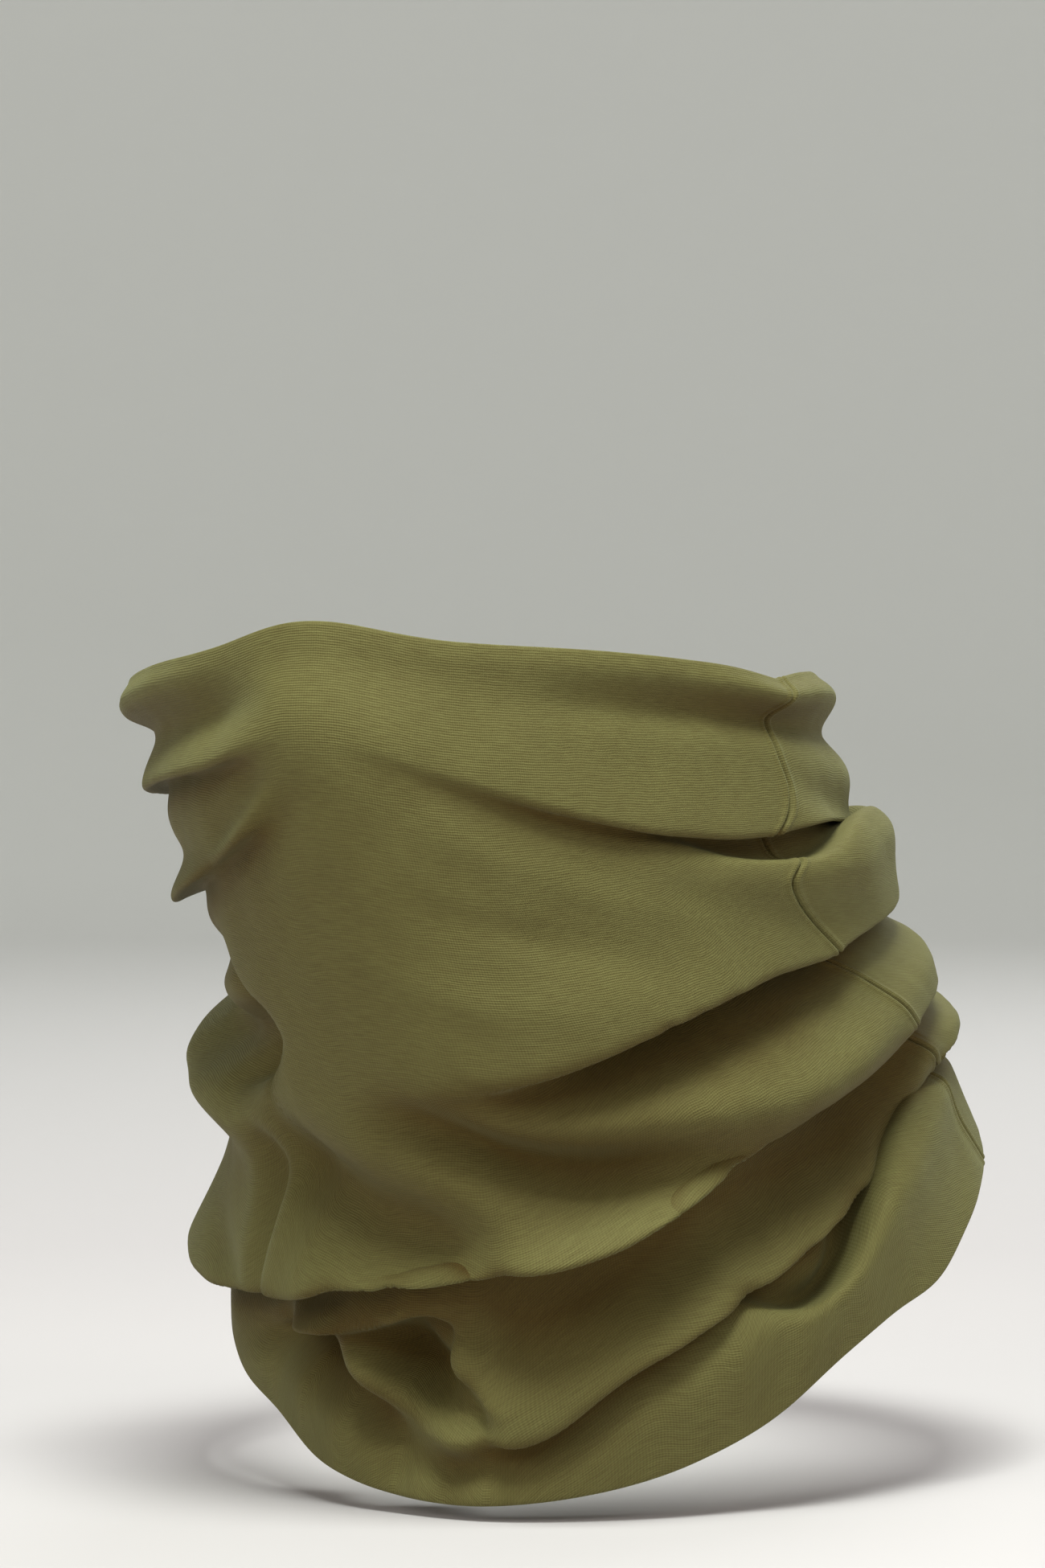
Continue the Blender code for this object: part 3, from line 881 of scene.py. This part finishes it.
class Shader:
    """A new material, with short ways to add to its node tree."""

    def __init__(self, name):
        self.material = bpy.data.materials.new(name)
        self.material.use_nodes = True
        self.nodes = self.material.node_tree.nodes

    def put(self, node, inputs):
        """Gives each input a constant or another node's output, its name written with _ for a space."""
        for name, value in inputs.items():
            socket = node.inputs[name.replace("_", " ") if isinstance(name, str) else name]
            if isinstance(value, bpy.types.NodeSocket):
                self.material.node_tree.links.new(value, socket)
            else:
                socket.default_value = value

    def add(self, kind, **inputs):
        node = self.nodes.new(kind)
        self.put(node, inputs)
        return node

    def surface(self, **inputs):
        self.put(self.nodes["Principled BSDF"], inputs)

    def maths(self, operation, *values):
        node = self.nodes.new("ShaderNodeMath")
        node.operation = operation
        self.put(node, dict(enumerate(values)))
        return node.outputs["Value"]

    def wave(self, direction, pitch, place):
        node = self.add("ShaderNodeTexWave", Scale=WAVE_LENGTH / pitch, Vector=place)
        node.bands_direction = direction
        return node.outputs["Fac"]

    def noise(self, place, scale, **inputs):
        return self.add("ShaderNodeTexNoise", Vector=place, Scale=scale, **inputs).outputs["Fac"]

    def mix(self, factor, first, second, blend="MIX"):
        node = self.nodes.new("ShaderNodeMix")
        node.data_type = "RGBA"
        node.blend_type = blend
        self.put(node, {"Factor": factor, "A": first, "B": second})
        return node.outputs["Result"]

    def ranged(self, value, **ends):
        return self.add("ShaderNodeMapRange", Value=value, **ends).outputs["Result"]


def knit_loops(tree, cloth):
    """The height of rows of small stitches, each a little out of line."""
    wander = tree.add("ShaderNodeTexNoise", Vector=cloth, Scale=350.0, Detail=1.0)
    shifted = tree.nodes.new("ShaderNodeVectorMath")
    shifted.operation = "MULTIPLY_ADD"
    tree.put(shifted, {0: wander.outputs["Color"], 1: (STITCH_WANDER, STITCH_WANDER, 0.0), 2: cloth})
    place = shifted.outputs["Vector"]
    rib = tree.wave("Y", RIB_PITCH, place)
    stitch = tree.wave("X", STITCH_PITCH, place)
    return tree.maths("MULTIPLY_ADD", stitch, 0.45, tree.maths("MULTIPLY", rib, 0.75))


def knit_material():
    """Fine stretch knit: rows of small stitches, streaky yarn colour, a soft sheen, and painted shade that
    darkens and browns the cloth under overhanging folds.
    """
    tree = Shader("olive_knit")
    cloth = tree.add("ShaderNodeTexCoord").outputs["UV"]
    loops = knit_loops(tree, cloth)
    stretched = tree.add("ShaderNodeMapping", Vector=cloth, Scale=(260.0, 2200.0, 1.0)).outputs["Vector"]
    streaks = tree.noise(stretched, 1.0, Detail=4.0, Roughness=0.6)
    fluff = tree.noise(cloth, 2600.0, Detail=2.0)
    broad = tree.noise(cloth, 42.0, Detail=3.0)

    share = tree.maths("MULTIPLY_ADD", loops, 0.38, -0.35)
    for part, weight in ((streaks, 0.95), (fluff, 0.35), (broad, 0.25)):
        share = tree.maths("MULTIPLY_ADD", part, weight, share)
    yarn = tree.mix(share, KNIT_DARK, KNIT_COLOUR)

    # Painted shade: the yarn colour is multiplied by a brown tint where cloth hangs over it.
    painted_shade = tree.nodes.new("ShaderNodeAttribute")
    painted_shade.attribute_name = "painted_shade"
    painted_shade_share = tree.ranged(painted_shade.outputs["Fac"], From_Min=0.1, From_Max=0.6)
    yarn = tree.mix(painted_shade_share, yarn, PAINTED_SHADE_TINT, "MULTIPLY")

    across = tree.add("ShaderNodeSeparateXYZ", Vector=cloth).outputs["X"]
    clear_of_seam = tree.ranged(tree.maths("ABSOLUTE", across), From_Max=SEAM_LINE)

    height = tree.maths("MULTIPLY_ADD", fluff, 0.5, loops)
    bump = tree.add("ShaderNodeBump", Strength=0.6, Distance=BUMP_HEIGHT, Height=height)
    tree.surface(
        Base_Color=tree.mix(clear_of_seam, SEAM_COLOUR, yarn),
        Normal=bump.outputs["Normal"],
        Roughness=tree.ranged(broad, To_Min=0.68, To_Max=0.80),
        Specular_IOR_Level=0.18,
        Sheen_Weight=0.16,
        Sheen_Roughness=0.45,
        Sheen_Tint=SHEEN_TINT,
    )
    return tree.material


def thread_material():
    """Twisted polyester thread, with the ply showing as a fine ripple."""
    tree = Shader("olive_thread")
    place = tree.add("ShaderNodeTexCoord").outputs["Object"]
    ply = tree.wave("DIAGONAL", PLY_PITCH, place)
    tree.surface(Base_Color=tree.mix(ply, THREAD_DARK, THREAD_COLOUR), Roughness=0.6, Sheen_Weight=0.15)
    return tree.material


# The camera, the floor and the lights.

CAMERA_AZIMUTH = math.radians(27)
CAMERA_ELEVATION = math.radians(2)
CAMERA_DISTANCE = 1.4
CAMERA_AIM_RIGHT = 0.0091
CAMERA_AIM_HEIGHT = 0.145
CAMERA_CLIP = 0.05
VIEW_HEIGHT = 0.3362  # what the picture shows from top to bottom at the aim

FLOOR_HEIGHT = -0.006
BACKDROP_BEND = 0.8
BACKDROP_STEPS = 13
BACKDROP_RADIUS = 2.8
BACKDROP_HEIGHT = 3.0
BACKDROP_SIDES = 64
FLOOR_COLOUR = (0.54, 0.51, 0.53, 1.0)
WALL_COLOUR = (0.80, 0.80, 0.80, 1.0)
FLOOR_REACH = 0.5  # where the floor's colour starts to turn into the wall's, and where it ends
WALL_REACH = 2.2

WORLD_COLOUR = (1.0, 0.92, 0.82, 1.0)
WORLD_STRENGTH = 0.13

# Square area lights: name, place, height aimed at, size, watts and colour.
LIGHTS = (
    ("key", (0.22, -0.48, 1.6), 0.1, 0.6, 38, (0.94, 1.0, 0.92)),
    ("front", (-0.5, -1.4, 0.75), 0.08, 0.8, 6, (1.0, 0.94, 0.84)),
    ("side", (1.3, -0.2, 1.0), 0.1, 0.8, 5, (1.0, 0.95, 0.86)),
    ("back", (-0.1, 1.3, 1.2), 0.1, 0.9, 9, (1.0, 1.0, 1.0)),
)


def add_camera():
    data = bpy.data.cameras.new("camera")
    camera = bpy.data.objects.new("camera", data)
    bpy.context.scene.collection.objects.link(camera)
    right = np.array([math.cos(CAMERA_AZIMUTH), math.sin(CAMERA_AZIMUTH), 0])
    back = np.array([
        math.sin(CAMERA_AZIMUTH) * math.cos(CAMERA_ELEVATION),
        -math.cos(CAMERA_AZIMUTH) * math.cos(CAMERA_ELEVATION),
        math.sin(CAMERA_ELEVATION),
    ])
    aim = right * CAMERA_AIM_RIGHT + np.array([0, 0, CAMERA_AIM_HEIGHT])
    camera.location = aim + back * CAMERA_DISTANCE
    camera.rotation_euler = (math.pi / 2 - CAMERA_ELEVATION, 0, CAMERA_AZIMUTH)
    data.sensor_fit = "VERTICAL"
    data.angle = 2 * math.atan(VIEW_HEIGHT / 2 / CAMERA_DISTANCE)
    data.clip_start = CAMERA_CLIP
    bpy.context.scene.camera = camera


def floor_material():
    """Paint that gets paler from the floor to the wall."""
    tree = Shader("floor_paint")
    reach = tree.nodes.new("ShaderNodeVectorMath")
    reach.operation = "LENGTH"
    tree.put(reach, {0: tree.add("ShaderNodeTexCoord").outputs["Object"]})
    far = tree.ranged(reach.outputs["Value"], From_Min=FLOOR_REACH, From_Max=WALL_REACH)
    tree.surface(Base_Color=tree.mix(far, FLOOR_COLOUR, WALL_COLOUR), Roughness=0.9)
    return tree.material


def add_floor():
    """A pale round floor whose edge curves up into a wall all round, as in a small studio."""
    profile = []
    for angle in np.linspace(0, math.pi / 2, BACKDROP_STEPS):
        profile.append((
            BACKDROP_RADIUS - BACKDROP_BEND * (1 - math.sin(angle)),
            FLOOR_HEIGHT + BACKDROP_BEND * (1 - math.cos(angle)),
        ))
    profile.append((BACKDROP_RADIUS, BACKDROP_HEIGHT))
    turns = np.linspace(0, 2 * math.pi, BACKDROP_SIDES, endpoint=False)
    points = [(0, 0, FLOOR_HEIGHT)]
    for radius, height in profile:
        points += [(radius * math.cos(turn), radius * math.sin(turn), height) for turn in turns]
    faces = []
    for side in range(BACKDROP_SIDES):
        after = (side + 1) % BACKDROP_SIDES
        faces.append((0, 1 + side, 1 + after))
        for ring in range(len(profile) - 1):
            low = 1 + ring * BACKDROP_SIDES
            high = low + BACKDROP_SIDES
            faces.append((low + side, high + side, high + after, low + after))
    floor = add_object("floor", points, faces)
    floor.data.materials.append(floor_material())


def add_light(name, place, aim_height, size, watts, colour):
    data = bpy.data.lights.new(name, "AREA")
    data.shape = "SQUARE"
    data.size = size
    data.energy = watts
    data.color = colour
    light = bpy.data.objects.new(name, data)
    bpy.context.scene.collection.objects.link(light)
    light.location = place
    way = np.array((0, 0, aim_height)) - place
    pitch = math.atan2(-way[2], math.hypot(way[0], way[1]))
    heading = math.atan2(way[1], way[0])
    light.rotation_euler = (math.pi / 2 - pitch, 0, heading - math.pi / 2)


def add_studio():
    world = bpy.data.worlds.new("studio")
    bpy.context.scene.world = world
    world.use_nodes = True
    background = world.node_tree.nodes["Background"]
    background.inputs["Color"].default_value = WORLD_COLOUR
    background.inputs["Strength"].default_value = WORLD_STRENGTH
    for light in LIGHTS:
        add_light(*light)
    bpy.context.scene.view_settings.view_transform = "Standard"


def main():
    add_camera()
    add_floor()
    add_studio()
    knit = knit_material()
    thread = thread_material()
    panel, bed = make_panel(Layout(), knit)
    cloth = [panel, make_allowance(bed, knit)]
    threads = [make_thread(name, stitch, bed, thread) for name, stitch in STITCHES.items()]
    for piece in cloth + threads:
        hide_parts(*(f"{piece.name}_{length}" for length in ("face", "middle", "neck")))
    for piece in cloth + threads:
        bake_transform(piece)


main()
